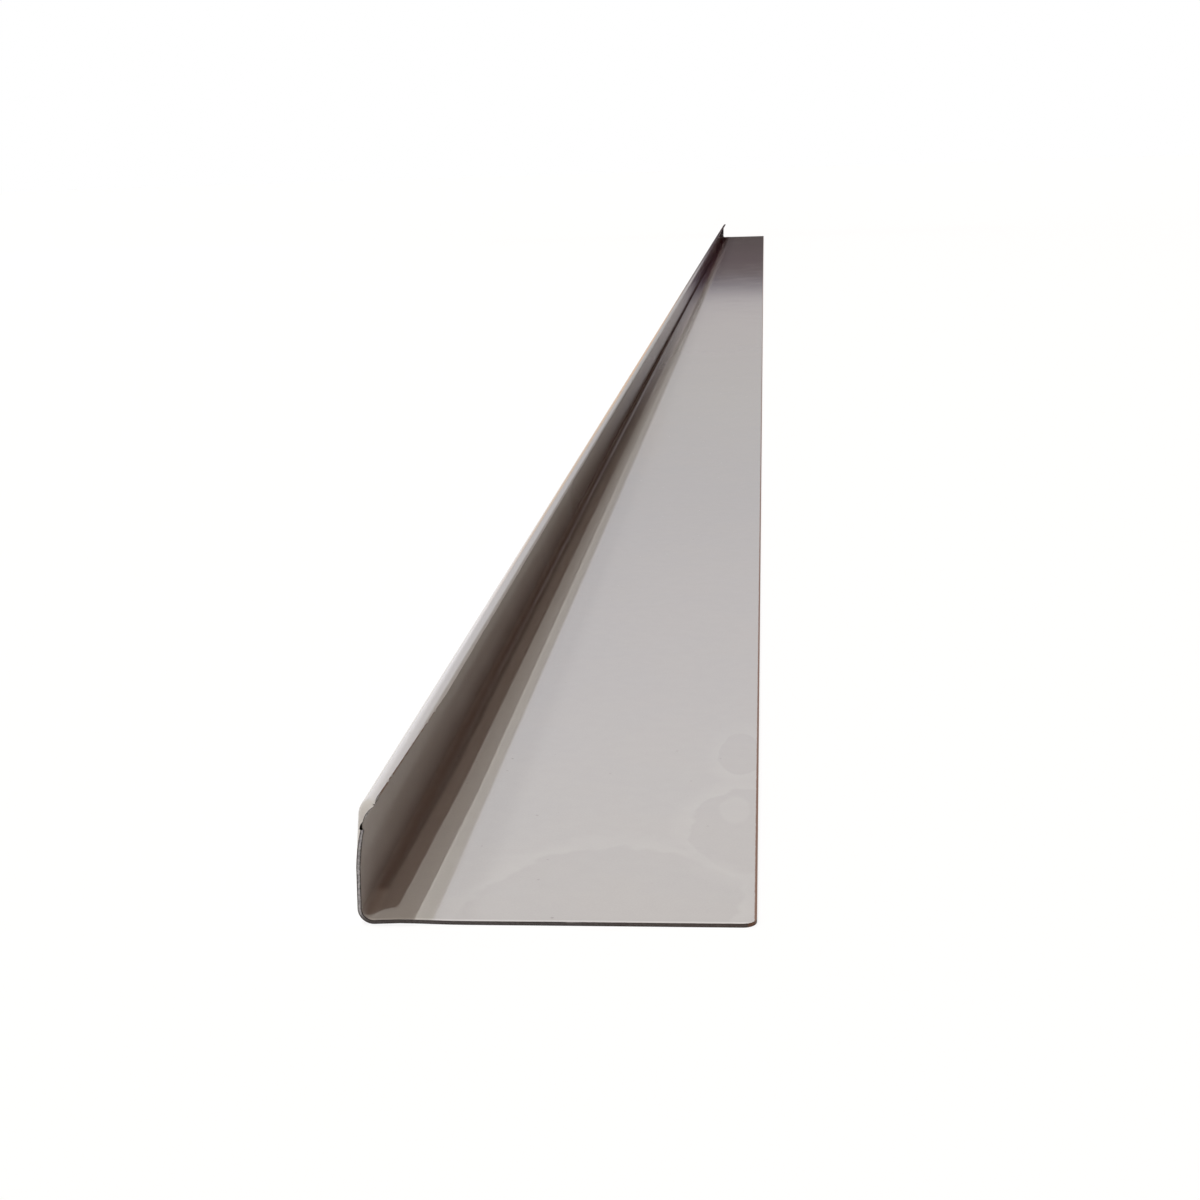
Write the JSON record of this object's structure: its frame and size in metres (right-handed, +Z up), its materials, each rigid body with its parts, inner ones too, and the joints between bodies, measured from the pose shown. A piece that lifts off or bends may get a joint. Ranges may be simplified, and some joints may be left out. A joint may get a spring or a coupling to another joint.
{
  "type": "gutter section",
  "caption": "Long folded sheet metal section with a wide flat base, a low upright wall on one side and a curled lip along its top, for carrying roof water along an edge.",
  "frame": {"origin": "middle of the underside of the flat base, halfway along the section", "axes": "+Y along the section, away from the end with the trimmed lip; +X across the base, away from the wall; +Z up"},
  "size_m": [0.075, 3, 0.024],
  "materials": {
    "painted_sheet": "glossy warm grey coil coating on steel sheet"
  },
  "bodies": {
    "root": {"gutter_section": "painted_sheet"}
  },
  "joints": []
}
